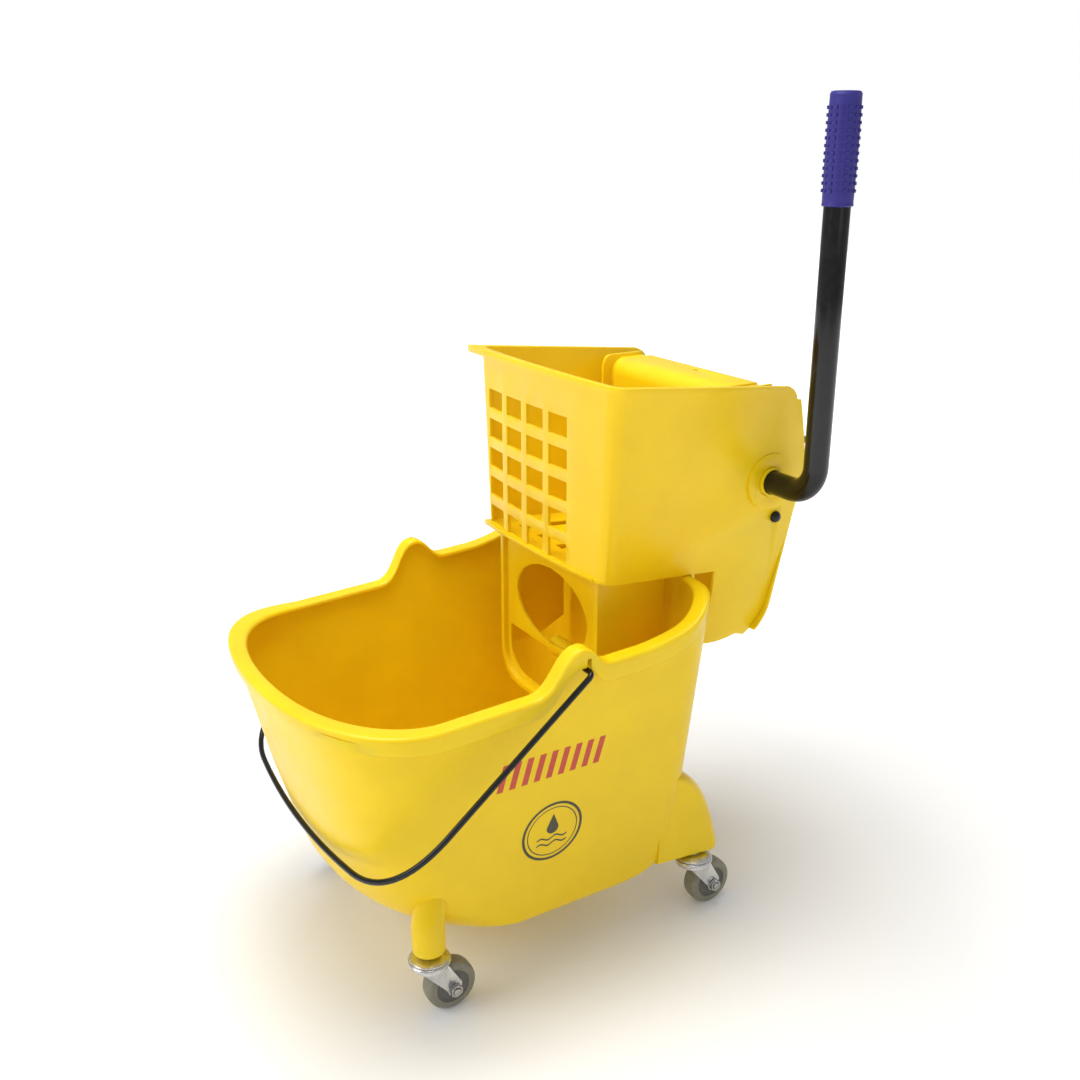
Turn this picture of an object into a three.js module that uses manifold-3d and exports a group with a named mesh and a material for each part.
// A wheeled mop bucket with a side-press wringer hooked over its rear rim.
// Units are millimetres. +Z is up, the pouring lip faces -Y, the wringer stands at +Y and its lever at +X.
import * as THREE from "three";
import { mergeVertices } from "three/addons/utils/BufferGeometryUtils.js";
import Module from "manifold-3d";

const wasm = await Module();
wasm.setup();

// ---------------------------------------------------------------- driving dimensions
const GAP = 0.3; // clearance between pieces that touch

// Tub. Its outer faces are given at the rim height and drawn in below it.
const RIM_Z = 342;
const TUB_HALF_WIDTH = 176;
const TUB_FRONT = 265; // forward of the bail ears
const TUB_REAR = 171; // behind the bail ears
const TUB_FLOOR_Z = 54;
const TUB_WALL = 4;
const SIDE_DRAFT = 0.135;
const FRONT_DRAFT = 0.225;
const REAR_DRAFT = 0.03;
const FRONT_BELLY = [92, 125]; // height and length of the curve that turns the front wall under
const REAR_BELLY = [40, 120];
const SIDE_BELLY = [14, 14];
const CHIN_Z = 200; // below this the front corners turn under further
const CHIN_SWEEP = 38;

// Rim, with a hollow skirt outside the wall and a thin pouring lip.
const REAR_RIM_Z = 403; // the raised rear edge that the wringer sits on
const RIM_OUT = 10;
const RIM_IN = 5;
const LIP_OUT = 8;
const REAR_RIM_OUT = 2;
const RIM_TOP = 5;
const SKIRT_HEIGHT = 21;
const SKIRT_WALL = 3.5;
const EAR_TOP_Z = 387;
const EAR_HALF_WIDTH = 30;
const BAIL_PIVOT_Z = 362;

// Bail, a bent wire that hangs against the front wall.
const WIRE_RADIUS = 3;
const BAIL_HOLE_RADIUS = 4.5;
const BAIL_REST_GAP = 2; // from the wire to the front wall at rest
const BAIL_REACH = 298;
const BAIL_STRAIGHT = 205;
const BAIL_INSET = 11; // how far each end reaches in behind the skirt

// Casters.
const WHEEL_RADIUS = 27;
const TYRE_WIDTH = 19;
const HUB_RADIUS = 18;
const HUB_WIDTH = 21;
const AXLE_RADIUS = 4;
const TRAIL = 21; // from the swivel axis back to the axle
const FORK_WALL = 2.5;
const RACE_RADIUS = 20;
const WHEEL_HEADROOM = 6;
const FORK_TOP_Z = WHEEL_RADIUS * 2 + WHEEL_HEADROOM;
const RACE_HEIGHT = 5;
const CUP_HEIGHT = 4;
const STEM_RADIUS = 5;
const STEM_LENGTH = 46; // above the upper cup
const CASTER_INSET_SIDE = 35; // of all four swivel axes, inside the tub's widest line
const CASTER_INSET_FRONT = 109.5;
const CASTER_OVERHANG = 9; // of the rear ones, behind the tub's rear wall
const FRONT_LEG_RADIUS = 17;
const FRONT_LEG_Z = FORK_TOP_Z + 14; // its foot clears the swivel race and its cup
const FRONT_LEG_STRAIGHT = 30;
const FRONT_LEG_BLEND_Z = 165; // where the leg has drawn in to the wall
const FRONT_LEG_LEAN = 26; // how far it leans in there
const REAR_HOUSING_Z = FORK_TOP_Z + 11;
const REAR_HOUSING_TOP_Z = 181;
const REAR_HOUSING_OUT = 11; // beyond the swivel axis, away from the middle
const REAR_HOUSING_IN = 29;
const REAR_HOUSING_BACK = 32;
const REAR_HOUSING_CORNER = 15;

// Wringer. Its own frame has y = 0 just behind the tub's rear wall and z = 0 on top of the rear rim.
const WRINGER_SETBACK = 7; // of the wringer's own frame behind the tub's rear wall
const WRINGER_HALF_WIDTH = 122; // outside, at z = 0
const WRINGER_DRAFT = 0.072;
const WRINGER_WALL = 3.5;
const BASKET_FRONT = 124; // forward of the wringer's datum
const BASKET_BOW = 6;
const BASKET_CORNER = 16;
const CHEEK_REAR = 138;
const CHEEK_DROP = 90; // how far the cheeks hang below the rim
const HOOK_CLEARANCE = 26;
const TOP_FRONT_Z = 216;
const TOP_REAR_Z = 193;
const FLOOR_FALL = 0.08;
const FLOOR_THICKNESS = 4;
const LIP_HEIGHT = 8;
const LIP_OVERHANG = 8;

// Square drain holes in the front wall.
const HOLE_COLUMNS = 4;
const HOLE_ROWS = 5;
const HOLE_WIDTH = 34;
const HOLE_HEIGHT = 22;
const HOLE_PITCH_X = 44.5;
const HOLE_PITCH_Z = 34;
const HOLE_CENTRE_X = -26;
const HOLE_CENTRE_Z = 93;

// Chute that hangs inside the tub below the basket.
const CHUTE_HALF_WIDTH = 101;
const CHUTE_FRONT = 105;
const CHUTE_DEPTH = 80;
const CHUTE_DROP = 180;
const CHUTE_RIB = 6;
const CHUTE_HOLE_HALF_WIDTH = 74;
const CHUTE_HOLE_HALF_HEIGHT = 46;
const CHUTE_HOLE_Z = -58;
const PEG_RADIUS = 11;
const PEG_LENGTH = 114;
const PEG_Z = -113;

// Lever and the gears that drive the press plate, in the wringer's frame.
const SHAFT_Y = 89.5;
const SHAFT_Z = 91;
const LEVER_RADIUS = 12.7;
const LEVER_WALL = 2;
const LEVER_SIDE_X = 196;
const LEVER_BEND = 32;
const LEVER_HEIGHT = 388; // from the shaft to the top of the grip
const GRIP_LENGTH = 102;
const GRIP_RADIUS = 16;
const GRIP_END = 4;
const BUSH_WALL = 3.3; // running clearance included
const BUSH_RADIUS = LEVER_RADIUS + BUSH_WALL;
const BOSS_RADIUS = 31;
const BOSS_HEIGHT = 4;
const GEAR_MODULE = 3.64;
const PINION_TEETH = 10;
const RACK_TEETH = 40; // on the full circle
const GEAR_X = 60;
const GEAR_WIDTH = 10;
const GEAR_LEAN = THREE.MathUtils.degToRad(9.5); // of the line from hinge to shaft
const PLATE_SWING = THREE.MathUtils.degToRad(26.25);
const PIN_RADIUS = 2;
const SPRING_WIRE = 1.5;
const SPRING_TURNS = 4;
const SPRING_X = 78;
const SPRING_LENGTH = 30;
const TIE_ROD_Y = 104;
const TIE_ROD_Z = 47.5;
const ROD_RADIUS = 4;
const ROD_CAP_RADIUS = 6.5;

// Press plate, in the wringer's frame.
const PLATE_HALF_WIDTH = 117;
const PLATE_FRONT_Y = 42;
const PLATE_TOP_Z = 191;
const PLATE_BOTTOM_Z = 24;
const PLATE_WALL = 4;
const PLATE_DEPTH = 53;
const HOOD_HALF_WIDTH = 95;
const HOOD_RADIUS = 18;
const WING_SETBACK = 9;
const SLEEVE_RADIUS = 8;

// Rear cover and its screws.
const COVER_WALL = 2.5;
const SCREW_HEIGHTS = [72, 128];
const SCREW_RADIUS = 2;
const SCREW_HEAD_RADIUS = 4.5;
const SCREW_LENGTH = 16;
const SCREW_BOSS_RADIUS = 8;

// ---------------------------------------------------------------- worked-out dimensions
const PINION_RADIUS = (GEAR_MODULE * PINION_TEETH) / 2;
const RACK_RADIUS = (GEAR_MODULE * RACK_TEETH) / 2;
const HINGE_Y = SHAFT_Y - (RACK_RADIUS - PINION_RADIUS) * Math.sin(GEAR_LEAN);
const HINGE_Z = SHAFT_Z - (RACK_RADIUS - PINION_RADIUS) * Math.cos(GEAR_LEAN);
const wringerY = rearAt(REAR_RIM_Z) + WRINGER_SETBACK;
const casterX = TUB_HALF_WIDTH - CASTER_INSET_SIDE;
const casterFrontY = -TUB_FRONT + CASTER_INSET_FRONT;
const casterRearY = TUB_REAR + CASTER_OVERHANG;
const cupZ = FORK_TOP_Z + RACE_HEIGHT + GAP;

// How far the bail hangs below the horizontal when its bow comes up to the sloping front wall.
const bailForward = TUB_FRONT - (RIM_Z - BAIL_PIVOT_Z) * FRONT_DRAFT + WIRE_RADIUS + BAIL_REST_GAP;
const bailAngle = Math.atan(FRONT_DRAFT) + Math.acos(bailForward / (BAIL_REACH * Math.hypot(1, FRONT_DRAFT)));

// ---------------------------------------------------------------- materials
const plastic = (color, roughness) => new THREE.MeshStandardMaterial({ color, roughness, metalness: 0 });
const metal = (color, roughness) => new THREE.MeshStandardMaterial({ color, roughness, metalness: 1 });
const YELLOW = () => plastic(0xf2c81e, 0.35);
const DARK_RUBBER = () => plastic(0x8b8878, 0.75);
const HUB_GREY = () => plastic(0x76756f, 0.5);
const GRIP_BLUE = () => plastic(0x37328a, 0.55);
const BLACK_PAINT = () => metal(0x121212, 0.3);
const BLACK_PLASTIC = () => plastic(0x151515, 0.4);
const ZINC = () => metal(0xc4c7c9, 0.32);
const STEEL = () => metal(0x9a9c9e, 0.4);

// ---------------------------------------------------------------- solids: joining, cutting and placing
function solid(geometry) {
  const loose = geometry.index ? geometry.toNonIndexed() : geometry.clone();
  loose.deleteAttribute("normal");
  loose.deleteAttribute("uv");
  const merged = mergeVertices(loose, 1e-4);
  const vertProperties = new Float32Array(merged.attributes.position.array);
  const triVerts = new Uint32Array(merged.index.array);
  return new wasm.Manifold(new wasm.Mesh({ numProp: 3, vertProperties, triVerts }));
}

function join(...pieces) {
  return pieces.reduce((whole, piece) => whole.add(piece));
}

function cut(whole, ...pieces) {
  return pieces.reduce((rest, piece) => rest.subtract(piece), whole);
}

function geometryOf(piece) {
  const made = piece.getMesh();
  const geometry = new THREE.BufferGeometry();
  geometry.setAttribute("position", new THREE.BufferAttribute(made.vertProperties, 3));
  geometry.setIndex(new THREE.BufferAttribute(made.triVerts, 1));
  const faceted = geometry.toNonIndexed();
  faceted.computeVertexNormals();
  return faceted;
}

function part(name, material, shape, place = [0, 0, 0]) {
  const geometry = shape.isBufferGeometry ? shape : geometryOf(shape);
  const mesh = new THREE.Mesh(geometry, material);
  mesh.name = name;
  mesh.position.set(...place);
  return mesh;
}

// An outline in (x, y) raised from z0 to z1.
function raised(shape, z0, z1, steps = 1) {
  const options = { depth: z1 - z0, steps, bevelEnabled: false, curveSegments: 6 };
  return new THREE.ExtrudeGeometry(shape, options).translate(0, 0, z0);
}

// An outline in (y, z) carried along X from x0 to x1.
function acrossX(shape, x0, x1, curveSegments = 6) {
  const turned = new THREE.Matrix4().makeBasis(
    new THREE.Vector3(0, 1, 0),
    new THREE.Vector3(0, 0, 1),
    new THREE.Vector3(1, 0, 0),
  );
  const options = { depth: x1 - x0, bevelEnabled: false, curveSegments };
  return new THREE.ExtrudeGeometry(shape, options).applyMatrix4(turned).translate(x0, 0, 0);
}

// An outline in (x, z) carried along Y from y0 to y1.
function alongY(shape, y0, y1, curveSegments = 6) {
  const options = { depth: y1 - y0, bevelEnabled: false, curveSegments };
  return new THREE.ExtrudeGeometry(shape, options).rotateX(Math.PI / 2).translate(0, y1, 0);
}

function box(x0, x1, y0, y1, z0, z1) {
  return new THREE.BoxGeometry(x1 - x0, y1 - y0, z1 - z0).translate((x0 + x1) / 2, (y0 + y1) / 2, (z0 + z1) / 2);
}

// A round bar along X between x0 and x1, centred on (y, z).
function barX(radius, x0, x1, y, z, sides = 16) {
  return new THREE.CylinderGeometry(radius, radius, x1 - x0, sides)
    .rotateZ(-Math.PI / 2)
    .translate((x0 + x1) / 2, y, z);
}

function barY(radius, y0, y1, x, z, sides = 12) {
  return new THREE.CylinderGeometry(radius, radius, y1 - y0, sides).translate(x, (y0 + y1) / 2, z);
}

function barZ(radius, z0, z1, x, y, sides = 20) {
  return new THREE.CylinderGeometry(radius, radius, z1 - z0, sides)
    .rotateX(Math.PI / 2)
    .translate(x, y, (z0 + z1) / 2);
}

// The corner radius of a faceted hole whose flats clear a round bar by the usual gap.
function holeRadius(radius, sides) {
  return (radius + GAP) / Math.cos(Math.PI / sides);
}

// A profile of [radius, height] pairs turned about Z.
function turned(profile, segments = 12) {
  return new THREE.LatheGeometry(
    profile.map(([r, h]) => new THREE.Vector2(r, h)),
    segments,
  ).rotateX(Math.PI / 2);
}

function outline(points) {
  return new THREE.Shape(points.map(([a, b]) => new THREE.Vector2(a, b)));
}

function warp(geometry, place) {
  const at = geometry.attributes.position;
  for (let i = 0; i < at.count; i += 1) at.setXYZ(i, ...place(at.getX(i), at.getY(i), at.getZ(i)));
  return geometry;
}

// A route through the given points, for a wire or tube: one step of the extrusion for each point.
class Route extends THREE.Curve {
  constructor(points) {
    super();
    this.points = points.map((p) => new THREE.Vector3(...p));
  }
  getUtoTmapping(u) {
    return u;
  }
  getPoint(t) {
    const at = t * (this.points.length - 1);
    const i = Math.min(Math.floor(at), this.points.length - 2);
    return this.points[i].clone().lerp(this.points[i + 1], at - i);
  }
}

function ring(outer, inner, sides) {
  const polygon = (radius) =>
    Array.from({ length: sides }, (_, i) => {
      const turn = (2 * Math.PI * i) / sides;
      return new THREE.Vector2(radius * Math.cos(turn), radius * Math.sin(turn));
    });
  const shape = new THREE.Shape(polygon(outer));
  if (inner) shape.holes.push(new THREE.Path(polygon(inner)));
  return shape;
}

function tube(points, outer, inner, sides) {
  const extrudePath = new Route(points);
  return new THREE.ExtrudeGeometry(ring(outer, inner, sides), {
    extrudePath,
    steps: points.length - 1,
    bevelEnabled: false,
  });
}

// Points of a quarter turn from one direction to another about a corner.
function bend(corner, from, to, radius, count) {
  return Array.from({ length: count }, (_, i) => {
    const turn = (Math.PI / 2) * (i / (count - 1));
    return corner.map(
      (c, k) => c + radius * (from[k] * (Math.sin(turn) - 1) + to[k] * (1 - Math.cos(turn))),
    );
  });
}

// ---------------------------------------------------------------- tub
// How far a wall has turned under at height z, along a quarter ellipse that ends on the floor.
function turnUnder(z, [height, length]) {
  const below = Math.min(Math.max(TUB_FLOOR_Z + height - z, 0), height) / height;
  return length * (1 - Math.sqrt(1 - below ** 2));
}

const chinSweep = (z) => (CHIN_SWEEP * Math.max(CHIN_Z - z, 0)) / (CHIN_Z - TUB_FLOOR_Z);

function halfWidthAt(z) {
  return TUB_HALF_WIDTH - (RIM_Z - z) * SIDE_DRAFT - turnUnder(z, SIDE_BELLY);
}

function frontAt(z) {
  return -TUB_FRONT + (RIM_Z - z) * FRONT_DRAFT + turnUnder(z, FRONT_BELLY);
}

function rearAt(z) {
  return TUB_REAR - (RIM_Z - z) * REAR_DRAFT - turnUnder(z, REAR_BELLY);
}

// Corners in plan. The front one runs from a shoulder on the side, by way of a first pull on the
// side and a second one across the front, the last as a share of the half width.
const WALL_CORNERS = { shoulder: 95, pull: 19, across: 0.74, rear: 40 };
const RIM_CORNERS = { shoulder: 112, pull: 34, across: 0.6, rear: 60 };

// The tub's outline at the rim height, grown outwards by its own amount at the sides, front and rear.
function tubOutline(grow, corners) {
  const w = TUB_HALF_WIDTH + grow.side;
  const front = -TUB_FRONT - grow.front;
  const rear = TUB_REAR + grow.rear;
  const corner = corners.rear + Math.min(grow.side, 0);
  const { shoulder, pull } = corners;
  const across = w * corners.across;
  const shape = new THREE.Shape();
  shape.moveTo(w, front + shoulder);
  shape.lineTo(w, rear - corner);
  shape.absarc(w - corner, rear - corner, corner, 0, Math.PI / 2);
  shape.lineTo(corner - w, rear);
  shape.absarc(corner - w, rear - corner, corner, Math.PI / 2, Math.PI);
  shape.lineTo(-w, front + shoulder);
  shape.bezierCurveTo(-w, front + pull, -across, front, 0, front);
  shape.bezierCurveTo(across, front, w, front + pull, w, front + shoulder);
  return shape;
}

// The tub's drawn-in body between the given heights, grown outwards all round.
function tubBody(levels, grow, corners = WALL_CORNERS) {
  const steps = levels.length - 1;
  const options = { depth: steps, steps, bevelEnabled: false, curveSegments: 6 };
  const geometry = new THREE.ExtrudeGeometry(tubOutline(grow, corners), options);
  const length = TUB_REAR + grow.rear + TUB_FRONT + grow.front;
  return warp(geometry, (x, y, level) => {
    const z = levels[Math.round(level)];
    const across = (halfWidthAt(z) + grow.side) / (TUB_HALF_WIDTH + grow.side);
    const back = rearAt(z) + grow.rear;
    const front = frontAt(z) - grow.front;
    const forward = (TUB_REAR + grow.rear - y) / length;
    const sweep = chinSweep(z) * forward * (x / TUB_HALF_WIDTH) ** 2;
    return [x * across, back - forward * (back - front) + sweep, z];
  });
}

const evenly = (side) => ({ side, front: side, rear: side });

// The height of the rim along the side, as a region that reaches from the rim line down by drop.
// The front end of a dropped region runs up to the lip, so the skirt fades out there.
function rimLine(shape, offset) {
  const ear = EAR_TOP_Z - offset;
  const rim = RIM_Z - offset;
  const rear = REAR_RIM_Z - offset;
  shape.bezierCurveTo(-TUB_FRONT + 20, rim + 5, -TUB_FRONT + 80, rim - 4, -TUB_FRONT + 110, rim - 4);
  shape.lineTo(-EAR_HALF_WIDTH - 25, rim + 1);
  shape.bezierCurveTo(-EAR_HALF_WIDTH, rim + 4, -EAR_HALF_WIDTH + 3, ear, -4, ear);
  shape.bezierCurveTo(EAR_HALF_WIDTH - 18, ear, EAR_HALF_WIDTH - 18, rim + 23, EAR_HALF_WIDTH, rim + 23);
  shape.lineTo(EAR_HALF_WIDTH + 40, rim + 25);
  shape.bezierCurveTo(TUB_REAR - 70, rim + 29, TUB_REAR - 45, rear - 25, TUB_REAR - 24, rear - 9);
  shape.bezierCurveTo(TUB_REAR - 18, rear - 3, TUB_REAR - 12, rear, TUB_REAR - 4, rear);
  shape.lineTo(TUB_REAR + 60, rear);
}

function underRim(offset, frontOffset) {
  const shape = new THREE.Shape();
  const front = -TUB_FRONT - 40;
  shape.moveTo(front, 0);
  shape.lineTo(front, RIM_Z + 5 - frontOffset);
  shape.lineTo(-TUB_FRONT - 5, RIM_Z + 5 - frontOffset);
  rimLine(shape, offset);
  shape.lineTo(TUB_REAR + 60, 0);
  return solid(acrossX(shape, -TUB_HALF_WIDTH - 60, TUB_HALF_WIDTH + 60, 6));
}

function tubShell() {
  const top = REAR_RIM_Z + 20;
  const low = RIM_Z - 60;
  const turns = [0, 1, 3, 7, SIDE_BELLY[0], 25, REAR_BELLY[0], 64, FRONT_BELLY[0]].map((h) => TUB_FLOOR_Z + h);
  const raisedBy = (lift) => [...turns.map((z) => z + lift), CHIN_Z, RIM_Z, top + lift];
  const outer = solid(tubBody(raisedBy(0), evenly(0)));
  const inner = solid(tubBody(raisedBy(TUB_WALL), evenly(-TUB_WALL)));
  const rimGrow = { side: RIM_OUT, front: LIP_OUT, rear: REAR_RIM_OUT };
  const skirtGrow = {
    side: RIM_OUT - SKIRT_WALL,
    front: LIP_OUT - SKIRT_WALL,
    rear: REAR_RIM_OUT - SKIRT_WALL,
  };
  const flange = solid(tubBody([low, RIM_Z, top], rimGrow, RIM_CORNERS)).add(outer);
  const channel = solid(tubBody([low - 1, RIM_Z, top + 1], skirtGrow, RIM_CORNERS)).add(inner);
  const bead = solid(tubBody([low - 1, RIM_Z, top + 1], evenly(-TUB_WALL - RIM_IN)));
  const belowRim = underRim(0, 0);
  const belowTop = underRim(RIM_TOP, RIM_TOP);
  const belowSkirt = underRim(SKIRT_HEIGHT, RIM_TOP + 3);
  const skirt = cut(flange.intersect(belowRim), belowSkirt, channel);
  const land = cut(flange.intersect(belowRim), belowTop, bead);
  const body = join(outer.intersect(belowRim), ...[1, -1].flatMap((side) => [frontLeg(side), rearHousing(side)]));
  const shell = join(cut(body, inner), skirt, land);
  return cut(shell, ...[1, -1].flatMap((side) => [...bailHole(side), ...stemSockets(side)]));
}

// A leg under a front corner: straight at its foot, then narrowing and leaning in to the wall.
function frontLeg(side) {
  const bend = FRONT_LEG_Z + FRONT_LEG_STRAIGHT;
  const leg = turned([
    [0, FRONT_LEG_Z],
    [FRONT_LEG_RADIUS - 1, FRONT_LEG_Z],
    [FRONT_LEG_RADIUS, FRONT_LEG_Z + 2],
    [FRONT_LEG_RADIUS, bend],
    [FRONT_LEG_RADIUS * 0.9, (bend + FRONT_LEG_BLEND_Z) / 2],
    [FRONT_LEG_RADIUS * 0.5, FRONT_LEG_BLEND_Z],
    [0, FRONT_LEG_BLEND_Z],
  ], 18);
  const lean = (z) => (FRONT_LEG_LEAN * Math.max(z - bend, 0)) / (FRONT_LEG_BLEND_Z - bend);
  return solid(warp(leg, (x, y, z) => [side * (casterX - lean(z)) + x, casterFrontY + y + lean(z), z]));
}

// The housing over a rear caster: a rounded block whose back falls away in one curve.
function rearHousing(side) {
  const outer = casterX + REAR_HOUSING_OUT;
  const inner = casterX - REAR_HOUSING_IN;
  const corner = REAR_HOUSING_CORNER;
  const back = casterRearY + REAR_HOUSING_BACK;
  const inside = casterRearY - 50;
  const plan = new THREE.Shape();
  plan.moveTo(inner, inside);
  plan.lineTo(outer - 8, inside);
  plan.lineTo(outer, back - corner);
  plan.absarc(outer - corner, back - corner, corner, 0, Math.PI / 2);
  plan.lineTo(inner + corner, back);
  plan.absarc(inner + corner, back - corner, corner, Math.PI / 2, Math.PI);
  const block = raised(plan, REAR_HOUSING_Z, REAR_HOUSING_TOP_Z);
  const profile = new THREE.Shape();
  profile.moveTo(inside, REAR_HOUSING_Z + 14);
  profile.lineTo(casterRearY - 22, REAR_HOUSING_Z - 1);
  profile.lineTo(back + 1, REAR_HOUSING_Z - 1);
  profile.lineTo(back, REAR_HOUSING_Z + 6);
  profile.bezierCurveTo(back - 12, 125, back - 26, 168, back - 56, REAR_HOUSING_TOP_Z - 1);
  profile.lineTo(inside, REAR_HOUSING_TOP_Z - 1);
  const housing = solid(block).intersect(solid(acrossX(profile, 0, outer + 10, 5)));
  return side > 0 ? housing : housing.mirror([1, 0, 0]);
}

// The bail's round hole and the slot above it that the bent wire is put in through.
function bailHole(side) {
  const x0 = side > 0 ? TUB_HALF_WIDTH - 1 : -TUB_HALF_WIDTH - 40;
  const hole = barX(BAIL_HOLE_RADIUS, x0, x0 + 41, 0, BAIL_PIVOT_Z, 12);
  const slot = box(x0, x0 + 41, -2.5, 2.5, BAIL_PIVOT_Z, BAIL_PIVOT_Z + 14);
  return [solid(hole), solid(slot)];
}

function stemSockets(side) {
  const top = cupZ + CUP_HEIGHT + STEM_LENGTH + 1;
  return [casterFrontY, casterRearY].map((y) =>
    solid(barZ(holeRadius(STEM_RADIUS, 10), FRONT_LEG_Z - 20, top, side * casterX, y, 10)),
  );
}

// ---------------------------------------------------------------- bail
function bailWire() {
  const earOuter = halfWidthAt(EAR_TOP_Z) + RIM_OUT;
  const x = earOuter + WIRE_RADIUS + 3 * GAP;
  const plane = ([across, reach]) => [
    across,
    -reach * Math.cos(bailAngle),
    BAIL_PIVOT_Z - reach * Math.sin(bailAngle),
  ];
  const mid = x * 0.65;
  const shoulder = new THREE.QuadraticBezierCurve(
    new THREE.Vector2(x, BAIL_STRAIGHT),
    new THREE.Vector2(x - 2, BAIL_REACH - 20),
    new THREE.Vector2(mid, BAIL_REACH - 9),
  );
  const bow = new THREE.QuadraticBezierCurve(
    new THREE.Vector2(mid, BAIL_REACH - 9),
    new THREE.Vector2(mid / 2, BAIL_REACH),
    new THREE.Vector2(0, BAIL_REACH),
  );
  const half = [
    [earOuter - BAIL_INSET, 0],
    [x - 5, 0],
    [x - 1.5, 1.5],
    [x, 5],
    ...shoulder.getPoints(6).map((p) => [p.x, p.y]),
    ...bow.getPoints(3).slice(1).map((p) => [p.x, p.y]),
  ];
  const other = half.slice(0, -1).reverse().map(([across, reach]) => [-across, reach]);
  return tube([...half, ...other].map(plane), WIRE_RADIUS, 0, 8);
}

// ---------------------------------------------------------------- casters
// Each is built about its swivel axis with z = 0 on the ground and its wheel trailing towards +Y.
function casterStem() {
  const neck = FORK_TOP_Z - FORK_WALL - GAP;
  return turned([
    [0, neck - 3],
    [8, neck - 3],
    [8, neck],
    [STEM_RADIUS, neck],
    [STEM_RADIUS, cupZ],
    [RACE_RADIUS, cupZ],
    [RACE_RADIUS, cupZ + 2],
    [12, cupZ + CUP_HEIGHT],
    [STEM_RADIUS, cupZ + CUP_HEIGHT],
    [STEM_RADIUS, cupZ + CUP_HEIGHT + STEM_LENGTH],
    [0, cupZ + CUP_HEIGHT + STEM_LENGTH],
  ]);
}

function casterRace() {
  const low = FORK_TOP_Z + GAP;
  const high = FORK_TOP_Z + RACE_HEIGHT;
  const bore = STEM_RADIUS + 1;
  return turned([
    [bore, low],
    [RACE_RADIUS, low],
    [RACE_RADIUS + 2, (low + high) / 2],
    [RACE_RADIUS, high],
    [bore, high],
    [bore, low],
  ]);
}

function casterFork() {
  const inside = HUB_WIDTH / 2 + 1;
  const outside = inside + FORK_WALL;
  const crown = solid(barZ(RACE_RADIUS, FORK_TOP_Z - FORK_WALL, FORK_TOP_Z, 0, 0, 14));
  const blade = new THREE.Shape();
  blade.moveTo(-14, FORK_TOP_Z - 1);
  blade.lineTo(14, FORK_TOP_Z - 1);
  blade.lineTo(TRAIL + 8, WHEEL_RADIUS + 6);
  blade.absarc(TRAIL, WHEEL_RADIUS, 8, 0.3, -Math.PI, true);
  const blades = [inside, -outside].map((x) => solid(acrossX(blade, x, x + FORK_WALL, 3)));
  const bore = solid(barZ(STEM_RADIUS + 1, FORK_TOP_Z - 10, FORK_TOP_Z + 1, 0, 0, 10));
  const axleHole = solid(barX(holeRadius(AXLE_RADIUS, 8), -outside - 1, outside + 1, TRAIL, WHEEL_RADIUS, 8));
  return cut(join(crown, ...blades), bore, axleHole);
}

function casterAxle() {
  const face = HUB_WIDTH / 2 + 1 + FORK_WALL + GAP;
  const head = barX(AXLE_RADIUS + 2.5, -face - 3.5, -face, TRAIL, WHEEL_RADIUS, 6);
  const bolt = barX(AXLE_RADIUS, -face - 1, face + 6, TRAIL, WHEEL_RADIUS, 8);
  return join(solid(head), solid(bolt));
}

function casterNut() {
  const face = HUB_WIDTH / 2 + 1 + FORK_WALL + GAP;
  const hex = barX(AXLE_RADIUS + 3, face, face + 4.5, TRAIL, WHEEL_RADIUS, 6);
  return cut(solid(hex), solid(barX(holeRadius(AXLE_RADIUS, 8), face - 1, face + 6, TRAIL, WHEEL_RADIUS, 8)));
}

// Turned about Z, then laid along X on the axle.
function onAxle(profile, segments) {
  return turned(profile, segments)
    .rotateY(Math.PI / 2)
    .translate(0, TRAIL, WHEEL_RADIUS);
}

function casterHub() {
  const bore = holeRadius(AXLE_RADIUS, 12);
  const half = HUB_WIDTH / 2;
  const rim = TYRE_WIDTH / 2 - 2;
  return onAxle([
    [bore, -half],
    [9, -half],
    [11, -rim],
    [HUB_RADIUS, -rim],
    [HUB_RADIUS, rim],
    [11, rim],
    [9, half],
    [bore, half],
    [bore, -half],
  ], 12);
}

function casterTyre() {
  const bore = holeRadius(HUB_RADIUS, 20);
  const half = TYRE_WIDTH / 2;
  return onAxle([
    [bore, -half],
    [WHEEL_RADIUS - 3, -half],
    [WHEEL_RADIUS, -half + 4],
    [WHEEL_RADIUS, half - 4],
    [WHEEL_RADIUS - 3, half],
    [bore, half],
    [bore, -half],
  ], 20);
}

function caster(name, x, y) {
  const group = new THREE.Group();
  group.position.set(x, y, 0);
  group.add(
    part(`${name}_stem`, ZINC(), casterStem()),
    part(`${name}_race`, ZINC(), casterRace()),
    part(`${name}_fork`, ZINC(), casterFork()),
    part(`${name}_axle_bolt`, STEEL(), casterAxle()),
    part(`${name}_axle_nut`, STEEL(), casterNut()),
    part(`${name}_hub`, HUB_GREY(), casterHub()),
    part(`${name}_tyre`, DARK_RUBBER(), casterTyre()),
  );
  return group;
}

// ---------------------------------------------------------------- wringer housing
const cheekOuterAt = (z) => WRINGER_HALF_WIDTH * (1 + (z * WRINGER_DRAFT) / WRINGER_HALF_WIDTH);

function splayed(geometry) {
  return warp(geometry, (x, y, z) => [(x * cheekOuterAt(z)) / WRINGER_HALF_WIDTH, y, z]);
}

const undersideAt = (y) => -FLOOR_FALL * y;
const topAt = (y) =>
  TOP_FRONT_Z - ((TOP_FRONT_Z - TOP_REAR_Z) * (y + BASKET_FRONT)) / (BASKET_FRONT + CHEEK_REAR - 32);

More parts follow.
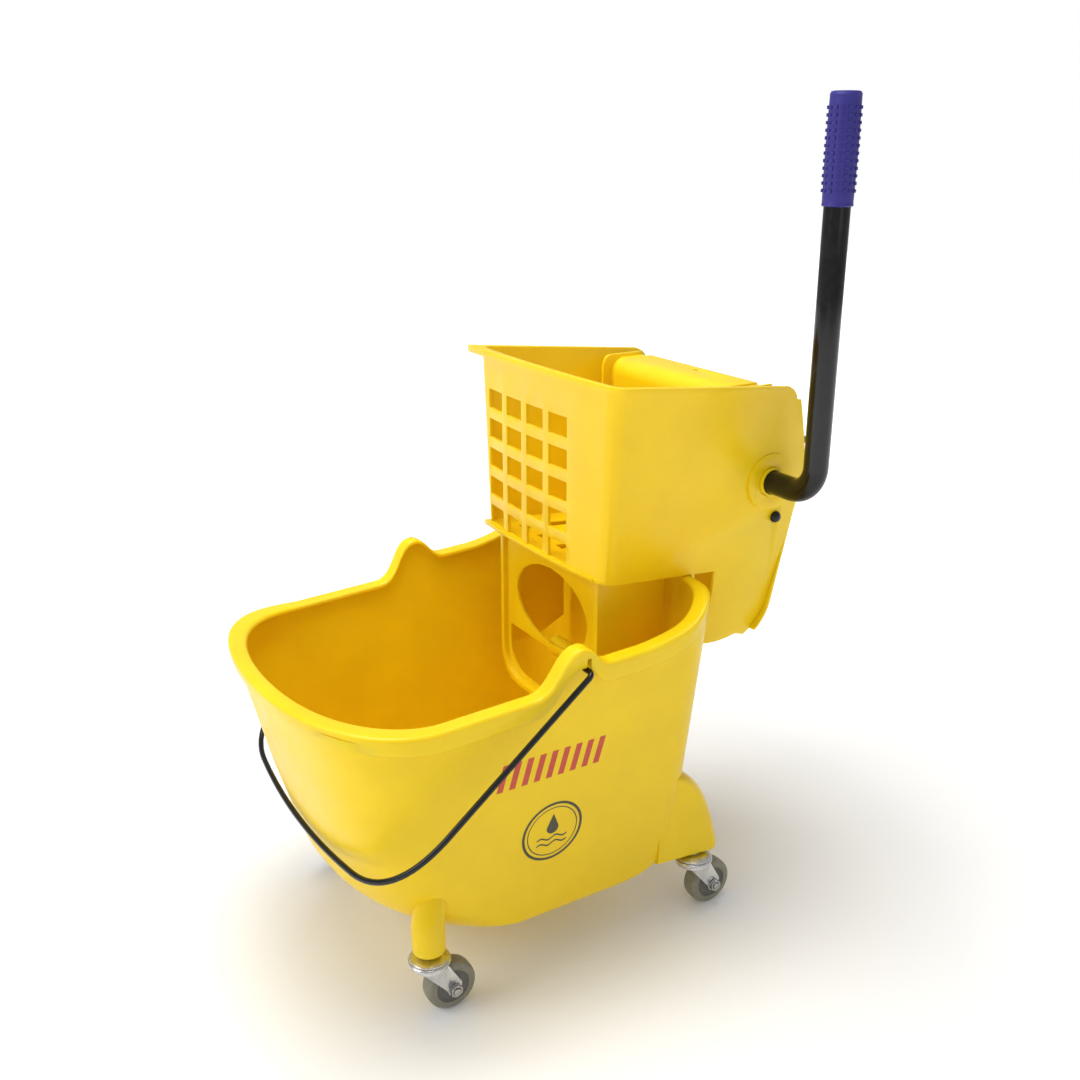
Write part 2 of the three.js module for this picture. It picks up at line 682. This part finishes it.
// The front wall and both side walls in plan: a U with a bowed front and rounded corners.
function basketPlan(inset) {
  const w = WRINGER_HALF_WIDTH - inset;
  const corner = BASKET_CORNER - inset;
  const sideFront = -BASKET_FRONT + inset + BASKET_BOW;
  const shape = new THREE.Shape();
  shape.moveTo(w, CHEEK_REAR + 20);
  shape.lineTo(-w, CHEEK_REAR + 20);
  shape.lineTo(-w, sideFront + corner);
  shape.absarc(-w + corner, sideFront + corner, corner, Math.PI, 1.5 * Math.PI);
  shape.quadraticCurveTo(0, sideFront - 2 * BASKET_BOW, w - corner, sideFront);
  shape.absarc(w - corner, sideFront + corner, corner, 1.5 * Math.PI, 2 * Math.PI);
  return shape;
}

// The rear edge of the side walls, from the top down to the lower tip, pushed out by grow.
function cheekBack(shape, grow) {
  const rear = CHEEK_REAR + grow;
  shape.lineTo(rear - 16, TOP_REAR_Z - 16);
  shape.quadraticCurveTo(rear - 2, 128, rear, 108);
  shape.quadraticCurveTo(rear + 1, 85, rear - 5, 57);
  shape.lineTo(rear - 33, -56 - grow * 0.2);
  shape.quadraticCurveTo(rear - 40, -78, rear - 60, -CHEEK_DROP);
}

// The side walls seen from the side.
function cheekOutline() {
  const shape = new THREE.Shape();
  shape.moveTo(-BASKET_FRONT - 20, topAt(-BASKET_FRONT - 20));
  shape.lineTo(CHEEK_REAR - 37, TOP_REAR_Z);
  shape.quadraticCurveTo(CHEEK_REAR - 25, TOP_REAR_Z - 2, CHEEK_REAR - 21, TOP_REAR_Z - 16);
  cheekBack(shape, 0);
  shape.lineTo(66, -CHEEK_DROP + 4);
  shape.quadraticCurveTo(42, -CHEEK_DROP - 2, 20, -CHEEK_DROP + 2);
  shape.lineTo(HOOK_CLEARANCE, -25);
  shape.lineTo(HOOK_CLEARANCE, undersideAt(HOOK_CLEARANCE));
  shape.lineTo(-BASKET_FRONT - 20, undersideAt(-BASKET_FRONT - 20));
  return shape;
}

function basketWalls() {
  const low = -CHEEK_DROP - 10;
  const high = TOP_FRONT_Z + 20;
  const outside = solid(splayed(raised(basketPlan(0), low, high)));
  const inside = solid(splayed(raised(basketPlan(WRINGER_WALL), low - 1, high + 1)));
  const reach = WRINGER_HALF_WIDTH + 30;
  return cut(outside, inside).intersect(solid(acrossX(cheekOutline(), -reach, reach)));
}

// A band that stands out round the top edge, widest along the front.
function topLip() {
  const high = TOP_FRONT_Z + 20;
  const grown = new THREE.Shape();
  const w = WRINGER_HALF_WIDTH + 2.5;
  const front = -BASKET_FRONT + BASKET_BOW;
  grown.moveTo(w, CHEEK_REAR - 36);
  grown.lineTo(-w, CHEEK_REAR - 36);
  grown.lineTo(-w - LIP_OVERHANG / 2, front - LIP_OVERHANG);
  grown.quadraticCurveTo(0, front - 2 * BASKET_BOW - LIP_OVERHANG / 2, w - BASKET_CORNER, front - 3);
  grown.absarc(w - BASKET_CORNER, front + BASKET_CORNER - 3, BASKET_CORNER, 1.5 * Math.PI, 2 * Math.PI);
  const band = outline([
    [-BASKET_FRONT - 30, topAt(-BASKET_FRONT - 30)],
    [CHEEK_REAR, topAt(CHEEK_REAR)],
    [CHEEK_REAR, topAt(CHEEK_REAR) - LIP_HEIGHT * 0.6],
    [-BASKET_FRONT - 30, topAt(-BASKET_FRONT - 30) - LIP_HEIGHT],
  ]);
  const reach = WRINGER_HALF_WIDTH + 30;
  const inside = solid(splayed(raised(basketPlan(WRINGER_WALL), -10, high + 1)));
  return cut(
    solid(splayed(raised(grown, 0, high))).intersect(solid(acrossX(band, -reach, reach))),
    inside,
  );
}

// The sloping floor, with a ledge that stands out below the front wall and long drain slots.
function basketFloor() {
  const rear = CHEEK_REAR - 22;
  const w = WRINGER_HALF_WIDTH - 1;
  const band = outline([
    [-BASKET_FRONT - 5, undersideAt(-BASKET_FRONT - 5)],
    [rear, undersideAt(rear)],
    [rear, undersideAt(rear) + FLOOR_THICKNESS],
    [-BASKET_FRONT - 5, undersideAt(-BASKET_FRONT - 5) + FLOOR_THICKNESS],
  ]);
  const plan = new THREE.Shape();
  const front = -BASKET_FRONT + BASKET_BOW;
  plan.moveTo(w, rear + 1);
  plan.lineTo(-w, rear + 1);
  plan.lineTo(-w, front + 4);
  plan.quadraticCurveTo(-w - 2, front - 4, -w + 6, front - 5);
  plan.quadraticCurveTo(0, front - 2 * BASKET_BOW - 4, w - BASKET_CORNER, front - 3);
  plan.absarc(w - BASKET_CORNER, front + BASKET_CORNER - 2, BASKET_CORNER, 1.5 * Math.PI, 2 * Math.PI);
  const floor = solid(raised(plan, -20, 30)).intersect(solid(acrossX(band, -w - 5, w + 5)));
  const slots = [-2, -1, 0, 1, 2].map((i) => solid(box(i * 40 - 7, i * 40 + 7, -95, -28, -20, 40)));
  return cut(floor, ...slots);
}

// A tongue behind the rear rim, which keeps the wringer from sliding forward.
function hookTongue() {
  const w = WRINGER_HALF_WIDTH - 1;
  const near = REAR_RIM_OUT - WRINGER_SETBACK + 2 * GAP;
  return solid(box(-w, w, near, near + 4, -42, undersideAt(near) + 2));
}

function drainHoles() {
  const holes = [];
  for (let row = 0; row < HOLE_ROWS; row += 1) {
    for (let column = 0; column < HOLE_COLUMNS; column += 1) {
      const x = HOLE_CENTRE_X + (column - (HOLE_COLUMNS - 1) / 2) * HOLE_PITCH_X;
      const z = HOLE_CENTRE_Z + (row - (HOLE_ROWS - 1) / 2) * HOLE_PITCH_Z;
      const left = x - HOLE_WIDTH / 2;
      const low = z - HOLE_HEIGHT / 2;
      holes.push(
        solid(box(left, left + HOLE_WIDTH, -BASKET_FRONT - 20, -BASKET_FRONT + 25, low, low + HOLE_HEIGHT)),
      );
    }
  }
  return holes;
}

// A U-shaped outline in (x, z) that hangs from the floor, inset all round.
function chuteFace(inset) {
  const w = CHUTE_HALF_WIDTH - inset;
  const bottom = -CHUTE_DROP + inset;
  const radius = 45 - inset / 2;
  const shape = new THREE.Shape();
  shape.moveTo(w, 4);
  shape.lineTo(-w, 4);
  shape.lineTo(-w, bottom + radius);
  shape.quadraticCurveTo(-w, bottom, -w + radius, bottom);
  shape.lineTo(w - radius, bottom);
  shape.quadraticCurveTo(w, bottom, w, bottom + radius);
  return shape;
}

function chute() {
  const front = -CHUTE_FRONT;
  const top = undersideAt(front) + 2;
  const hole = new THREE.Path();
  hole.absellipse(0, CHUTE_HOLE_Z, CHUTE_HOLE_HALF_WIDTH, CHUTE_HOLE_HALF_HEIGHT, 0, 2 * Math.PI);
  const face = chuteFace(0);
  face.holes.push(hole);
  const plate = solid(alongY(face, front, front + WRINGER_WALL, 10));
  const rib = cut(
    solid(alongY(chuteFace(0), front - CHUTE_RIB, front + 1, 10)),
    solid(alongY(chuteFace(CHUTE_RIB), front - CHUTE_RIB - 1, front + 2, 10)),
  );
  const opening = solid(
    alongY(chuteFace(CHUTE_RIB + 6), front - 1, front + WRINGER_WALL + 1, 10),
  ).intersect(solid(box(-CHUTE_HALF_WIDTH, CHUTE_HALF_WIDTH, front - 5, front + 9, -CHUTE_DROP, PEG_Z + 3)));
  const sides = [1, -1].map((side) => {
    const x = side > 0 ? CHUTE_HALF_WIDTH - WRINGER_WALL : -CHUTE_HALF_WIDTH;
    const flank = outline([
      [front, 8],
      [front + CHUTE_DEPTH, 4],
      [front + CHUTE_DEPTH, -CHUTE_DROP + 60],
      [front + CHUTE_DEPTH - 40, -CHUTE_DROP + 40],
      [front, -CHUTE_DROP + 42],
    ]);
    return solid(acrossX(flank, x, x + WRINGER_WALL));
  });
  const peg = solid(barX(PEG_RADIUS, CHUTE_HALF_WIDTH - PEG_LENGTH, CHUTE_HALF_WIDTH - 1, front + 16, PEG_Z, 16));
  const head = solid(box(-CHUTE_HALF_WIDTH - 1, CHUTE_HALF_WIDTH + 1, front - 20, front + 200, top, 60));
  return cut(join(cut(plate, opening), rib, ...sides, peg), head);
}

function housing() {
  const shaft = { y: SHAFT_Y, z: SHAFT_Z };
  const bosses = [1, -1].flatMap((side) => {
    const outer = cheekOuterAt(shaft.z) + BOSS_HEIGHT;
    const span = (a, b) => (side > 0 ? [a, b] : [-b, -a]);
    const hingeInner = cheekOuterAt(HINGE_Z) - WRINGER_WALL;
    return [
      solid(barX(BOSS_RADIUS, ...span(outer - BOSS_HEIGHT - 3, outer), shaft.y, shaft.z, 20)),
      solid(barX(SLEEVE_RADIUS + 1, ...span(hingeInner - 2, hingeInner + 2), HINGE_Y, HINGE_Z)),
      ...SCREW_HEIGHTS.map((z) =>
        solid(barY(SCREW_BOSS_RADIUS, SHAFT_Y + 24, CHEEK_REAR - 7, side * screwXAt(z), z)),
      ),
    ];
  });
  const whole = join(basketWalls(), topLip(), basketFloor(), hookTongue(), chute(), ...bosses);
  const wide = WRINGER_HALF_WIDTH + 30;
  const shaftHole = solid(barX(holeRadius(BUSH_RADIUS, 18), -wide, wide, SHAFT_Y, SHAFT_Z, 18));
  const rodEnd = cheekOuterAt(HINGE_Z) - 2;
  const hingeHole = solid(barX(holeRadius(ROD_RADIUS, 12), -rodEnd, rodEnd, HINGE_Y, HINGE_Z, 12));
  const tieHole = solid(barX(holeRadius(ROD_RADIUS, 12), -wide, wide, TIE_ROD_Y, TIE_ROD_Z, 12));
  const screwHoles = eachScrew((x, z) => solid(barY(holeRadius(SCREW_RADIUS, 8), CHEEK_REAR - 25, CHEEK_REAR + 9, x, z, 8)));
  return cut(whole, shaftHole, hingeHole, tieHole, ...drainHoles(), ...screwHoles);
}

const screwXAt = (z) => cheekOuterAt(z) - WRINGER_WALL - SCREW_BOSS_RADIUS + 1.5;

function eachScrew(make) {
  return [1, -1].flatMap((side) => SCREW_HEIGHTS.map((z) => make(side * screwXAt(z), z)));
}

// ---------------------------------------------------------------- rear cover
function coverBand(grow) {
  const shape = new THREE.Shape();
  shape.moveTo(0, TOP_REAR_Z - 16);
  cheekBack(shape, grow);
  shape.lineTo(0, -CHEEK_DROP);
  return shape;
}

function rearCover() {
  const w = WRINGER_HALF_WIDTH + 1;
  const outside = solid(acrossX(coverBand(COVER_WALL + GAP), -w, w));
  const inside = solid(acrossX(coverBand(GAP), -w - 1, w + 1));
  const keep = solid(box(-w - 2, w + 2, CHEEK_REAR - 70, CHEEK_REAR + 20, -CHEEK_DROP + 6, TOP_REAR_Z - 17));
  const holes = eachScrew((x, z) =>
    solid(barY(holeRadius(SCREW_RADIUS, 8), CHEEK_REAR - 30, CHEEK_REAR + 30, x, z, 8)),
  );
  return cut(cut(outside, inside).intersect(keep), ...holes);
}

function coverScrew(x, z) {
  const face = CHEEK_REAR + COVER_WALL + 2 * GAP + 0.6;
  const shank = solid(barY(SCREW_RADIUS, face - SCREW_LENGTH, face + 1, x, z, 8));
  return join(shank, solid(barY(SCREW_HEAD_RADIUS, face, face + 2, x, z, 12)));
}

// ---------------------------------------------------------------- press plate and its gears
function plateSection(setback, top) {
  const front = PLATE_FRONT_Y + setback;
  const wall = PLATE_WALL;
  const back = PLATE_FRONT_Y + PLATE_DEPTH;
  const heel = HINGE_Y - SLEEVE_RADIUS + 2;
  const round = HOOD_RADIUS;
  const shape = new THREE.Shape();
  shape.moveTo(back, top);
  shape.lineTo(front + round, top);
  shape.absarc(front + round, top - round, round, Math.PI / 2, Math.PI);
  shape.lineTo(front, PLATE_BOTTOM_Z);
  shape.lineTo(heel, HINGE_Z - SLEEVE_RADIUS);
  shape.lineTo(heel, HINGE_Z - SLEEVE_RADIUS + wall);
  shape.lineTo(front + wall, PLATE_BOTTOM_Z + wall);
  shape.lineTo(front + wall, top - round);
  shape.absarc(front + round, top - round, round - wall, Math.PI, Math.PI / 2, true);
  shape.lineTo(back, top - wall);
  return shape;
}

function pressPlate() {
  const w = PLATE_HALF_WIDTH;
  const hood = solid(acrossX(plateSection(0, PLATE_TOP_Z), -HOOD_HALF_WIDTH, HOOD_HALF_WIDTH));
  const hoodEdge = HOOD_HALF_WIDTH - PLATE_WALL;
  const wings = [hoodEdge, -w].map((x) =>
    solid(acrossX(plateSection(WING_SETBACK, PLATE_TOP_Z - 2), x, x + w - hoodEdge)),
  );
  const flangeOutline = new THREE.Shape();
  flangeOutline.moveTo(PLATE_FRONT_Y + PLATE_DEPTH + 2, PLATE_TOP_Z + 2);
  flangeOutline.lineTo(PLATE_FRONT_Y + 8, PLATE_TOP_Z + 2);
  flangeOutline.quadraticCurveTo(PLATE_FRONT_Y - 1, PLATE_TOP_Z + 1, PLATE_FRONT_Y - 3, PLATE_TOP_Z - 12);
  flangeOutline.lineTo(PLATE_FRONT_Y, PLATE_BOTTOM_Z);
  flangeOutline.lineTo(HINGE_Y, HINGE_Z - SLEEVE_RADIUS + 1);
  flangeOutline.lineTo(HINGE_Y, HINGE_Z + 6);
  flangeOutline.lineTo(PLATE_FRONT_Y + 22, PLATE_BOTTOM_Z + 40);
  flangeOutline.lineTo(PLATE_FRONT_Y + 22, PLATE_TOP_Z - 30);
  const flanges = [w - PLATE_WALL, -w].map((x) => solid(acrossX(flangeOutline, x, x + PLATE_WALL)));
  const ends = [HOOD_HALF_WIDTH - PLATE_WALL, -HOOD_HALF_WIDTH].map((x) => {
    const web = plateSection(0, PLATE_TOP_Z);
    const closed = outline([
      [PLATE_FRONT_Y + 1, PLATE_BOTTOM_Z + 2],
      [PLATE_FRONT_Y + WING_SETBACK + 3, PLATE_BOTTOM_Z + 2],
      [PLATE_FRONT_Y + WING_SETBACK + 3, PLATE_TOP_Z - HOOD_RADIUS / 2],
      [PLATE_FRONT_Y + HOOD_RADIUS / 2, PLATE_TOP_Z - HOOD_RADIUS / 2],
      [PLATE_FRONT_Y + 1, PLATE_TOP_Z - HOOD_RADIUS],
    ]);
    return join(solid(acrossX(closed, x, x + PLATE_WALL)), solid(acrossX(web, x, x + PLATE_WALL)));
  });
  const sleeve = solid(barX(SLEEVE_RADIUS, -w + 6, w - 6, HINGE_Y, HINGE_Z));
  const bore = solid(barX(holeRadius(ROD_RADIUS, 12), -w - 1, w + 1, HINGE_Y, HINGE_Z, 12));
  const vent = solid(barZ(3, PLATE_TOP_Z - 10, PLATE_TOP_Z + 5, 4, PLATE_FRONT_Y + 42, 10));
  return cut(join(hood, ...wings, ...flanges, ...ends, sleeve), bore, vent);
}

const polar = (radius, angle) => [radius * Math.sin(angle), radius * Math.cos(angle)];

// The curved rack's teeth point inwards, to the hinge, and its foot lies on the back of the press plate.
function curvedRack() {
  const pitch = (2 * Math.PI) / RACK_TEETH;
  const tip = RACK_RADIUS - 2.4;
  const root = RACK_RADIUS + 3;
  const back = RACK_RADIUS + 6.2;
  const last = GEAR_LEAN + PLATE_SWING + 0.06;
  const first = -0.5;
  const inner = [polar(root, first)];
  for (let i = -2; GEAR_LEAN + (i + 0.5) * pitch + 0.05 < last; i += 1) {
    const centre = GEAR_LEAN + (i + 0.5) * pitch;
    inner.push(polar(root, centre - 0.03), polar(tip, centre - 0.013));
    inner.push(polar(tip, centre + 0.013), polar(root, centre + 0.03));
  }
  inner.push(polar(root, last));
  const outerArc = Array.from({ length: 13 }, (_, i) => polar(back, last + ((first - last) * i) / 12));
  const place = ([y, z]) => [y + HINGE_Y, z + HINGE_Z];
  const band = solid(acrossX(outline([...inner, ...outerArc].map(place)), -GEAR_WIDTH / 2, GEAR_WIDTH / 2));
  const plateBack = PLATE_FRONT_Y + PLATE_WALL + GAP;
  const footZ = HINGE_Z + RACK_RADIUS;
  const foot = solid(box(-GEAR_WIDTH, GEAR_WIDTH, plateBack, plateBack + 4, footZ - 32, footZ + 14));
  const front = solid(box(-GEAR_WIDTH * 2, GEAR_WIDTH * 2, plateBack - 30, plateBack, 0, 200));
  return cut(join(band, foot), front);
}

function pinion() {
  const pitch = (2 * Math.PI) / PINION_TEETH;
  const points = [];
  for (let i = 0; i < PINION_TEETH; i += 1) {
    const centre = GEAR_LEAN + i * pitch;
    points.push(polar(PINION_RADIUS - 2.7, centre - 0.15), polar(PINION_RADIUS + 2.4, centre - 0.07));
    points.push(polar(PINION_RADIUS + 2.4, centre + 0.07), polar(PINION_RADIUS - 2.7, centre + 0.15));
  }
  const place = ([y, z]) => [y + SHAFT_Y, z + SHAFT_Z];
  const half = GEAR_WIDTH / 2 + 1;
  const teeth = solid(acrossX(outline(points.map(place)), -half, half));
  const collar = solid(barX(PINION_RADIUS - 1, half - 1, half + 9, SHAFT_Y, SHAFT_Z, 16));
  const bore = solid(barX(holeRadius(LEVER_RADIUS, 16), -half - 1, half + 10, SHAFT_Y, SHAFT_Z, 16));
  return cut(join(teeth, collar), bore, solid(pinHole(half + 5)));
}

function pinHole(x) {
  return barZ(holeRadius(PIN_RADIUS, 10), SHAFT_Z - 30, SHAFT_Z + 30, x, SHAFT_Y, 10);
}

// ---------------------------------------------------------------- lever
function leverTube() {
  const far = -leverEndX();
  const corner = [LEVER_SIDE_X, SHAFT_Y, SHAFT_Z];
  const points = [
    [far, SHAFT_Y, SHAFT_Z],
    ...bend(corner, [1, 0, 0], [0, 0, 1], LEVER_BEND, 7),
    [LEVER_SIDE_X, SHAFT_Y, SHAFT_Z + LEVER_HEIGHT - GRIP_END - GAP],
  ];
  const bent = solid(tube(points, LEVER_RADIUS, LEVER_RADIUS - LEVER_WALL, 16));
  const collar = GEAR_WIDTH / 2 + 6;
  return cut(bent, solid(pinHole(GEAR_X + collar)), solid(pinHole(-GEAR_X + collar)));
}

function leverEndX() {
  return cheekOuterAt(SHAFT_Z) + BOSS_HEIGHT + 9;
}

function grip() {
  const z0 = LEVER_HEIGHT - GRIP_LENGTH;
  const bore = holeRadius(LEVER_RADIUS, 16);
  return turned([
    [bore, z0],
    [GRIP_RADIUS - 1, z0],
    [GRIP_RADIUS, z0 + 2],
    [GRIP_RADIUS - 0.8, z0 + 12],
    [GRIP_RADIUS, z0 + GRIP_LENGTH / 2],
    [GRIP_RADIUS - 0.8, LEVER_HEIGHT - 10],
    [GRIP_RADIUS, LEVER_HEIGHT - 2],
    [GRIP_RADIUS - 2, LEVER_HEIGHT],
    [0, LEVER_HEIGHT],
    [0, LEVER_HEIGHT - GRIP_END],
    [bore, LEVER_HEIGHT - GRIP_END],
    [bore, z0],
  ], 16);
}

function bush(side) {
  const inner = cheekOuterAt(SHAFT_Z) - WRINGER_WALL - 4;
  const outer = cheekOuterAt(SHAFT_Z) + BOSS_HEIGHT + 3;
  const [a, b] = side > 0 ? [inner, outer] : [-outer, -inner];
  const sleeve = solid(barX(BUSH_RADIUS, a, b, SHAFT_Y, SHAFT_Z, 18));
  const bore = solid(barX(holeRadius(LEVER_RADIUS, 16), a - 1, b + 1, SHAFT_Y, SHAFT_Z, 16));
  return cut(sleeve, bore);
}

// A cap pushed over the far end of the lever's shaft.
function shaftCap() {
  const end = leverEndX();
  const bore = holeRadius(LEVER_RADIUS, 16);
  return turned([
    [bore, -5],
    [GRIP_RADIUS, -5],
    [GRIP_RADIUS, 1],
    [GRIP_RADIUS - 3, 3],
    [0, 3.5],
    [0, GAP],
    [bore, GAP],
    [bore, -5],
  ], 16)
    .rotateY(-Math.PI / 2)
    .translate(-end, SHAFT_Y, SHAFT_Z);
}

function returnSpring() {
  const radius = LEVER_RADIUS + SPRING_WIRE + 1.5;
  const perTurn = 12;
  const count = SPRING_TURNS * perTurn;
  const points = Array.from({ length: count + 1 }, (_, i) => {
    const turn = (2 * Math.PI * i) / perTurn;
    const x = SPRING_X + (SPRING_LENGTH * i) / count;
    return [x, SHAFT_Y + radius * Math.sin(turn), SHAFT_Z + radius * Math.cos(turn)];
  });
  return tube(points, SPRING_WIRE, 0, 5);
}

function rodCap() {
  const bore = holeRadius(ROD_RADIUS, 12);
  return turned([
    [bore, 0],
    [ROD_CAP_RADIUS, 0],
    [ROD_CAP_RADIUS, 1.5],
    [ROD_CAP_RADIUS - 1.8, 4.5],
    [0, 6],
    [0, 3.5],
    [bore, 3.5],
    [bore, 0],
  ], 12);
}

// ---------------------------------------------------------------- wringer assembly
function wringer() {
  const group = new THREE.Group();
  group.position.set(0, wringerY, REAR_RIM_Z + GAP);
  group.add(
    part("wringer_housing", YELLOW(), housing()),
    part("rear_cover", YELLOW(), rearCover()),
    part("press_plate", YELLOW(), pressPlate()),
    part("hinge_rod", STEEL(), barX(ROD_RADIUS, -cheekOuterAt(HINGE_Z) + 3, cheekOuterAt(HINGE_Z) - 3, HINGE_Y, HINGE_Z, 12)),
    part("lever_tube", BLACK_PAINT(), leverTube()),
    part("lever_grip", GRIP_BLUE(), grip(), [LEVER_SIDE_X, SHAFT_Y, SHAFT_Z]),
    part("lever_shaft_cap", BLACK_PLASTIC(), shaftCap()),
    part("return_spring", STEEL(), returnSpring()),
  );
  for (const [name, side] of [["right", 1], ["left", -1]]) {
    const x = side * GEAR_X;
    group.add(
      part(`curved_rack_${name}`, YELLOW(), curvedRack(), [x, 0, 0]),
      part(`pinion_${name}`, BLACK_PLASTIC(), pinion(), [x, 0, 0]),
      part(`pinion_pin_${name}`, STEEL(), pinionPin(), [x, 0, 0]),
      part(`lever_bush_${name}`, YELLOW(), bush(side)),
      rodCapAt(`tie_rod_cap_${name}`, side),
    );
  }
  const rodEnd = cheekOuterAt(TIE_ROD_Z) + 3;
  group.add(part("tie_rod", STEEL(), barX(ROD_RADIUS, -rodEnd, rodEnd, TIE_ROD_Y, TIE_ROD_Z, 12)));
  eachScrew((x, z) => {
    const name = `cover_screw_${z > SHAFT_Z ? "upper" : "lower"}_${x > 0 ? "right" : "left"}`;
    group.add(part(name, STEEL(), coverScrew(x, z)));
  });
  return group;
}

function pinionPin() {
  const x = GEAR_WIDTH / 2 + 6;
  return barZ(PIN_RADIUS, SHAFT_Z - PINION_RADIUS + 2, SHAFT_Z + PINION_RADIUS - 2, x, SHAFT_Y, 10);
}

function rodCapAt(name, side) {
  const mesh = part(name, BLACK_PLASTIC(), rodCap());
  mesh.position.set(side * (cheekOuterAt(TIE_ROD_Z + ROD_CAP_RADIUS) + GAP), TIE_ROD_Y, TIE_ROD_Z);
  mesh.rotation.y = (side * Math.PI) / 2;
  return mesh;
}

// ---------------------------------------------------------------- whole
const model = new THREE.Group();
model.add(
  part("bucket", YELLOW(), tubShell()),
  part("bail_handle", BLACK_PAINT(), bailWire()),
  caster("caster_front_right", casterX, casterFrontY),
  caster("caster_front_left", -casterX, casterFrontY),
  caster("caster_rear_right", casterX, casterRearY),
  caster("caster_rear_left", -casterX, casterRearY),
  wringer(),
);

// The origin is on the ground, midway along the length and width of the whole.
model.updateMatrixWorld(true);
const whole = new THREE.Box3().setFromObject(model, true);
const middle = whole.getCenter(new THREE.Vector3());
model.position.set(-middle.x, -middle.y, -whole.min.z);

export default model;
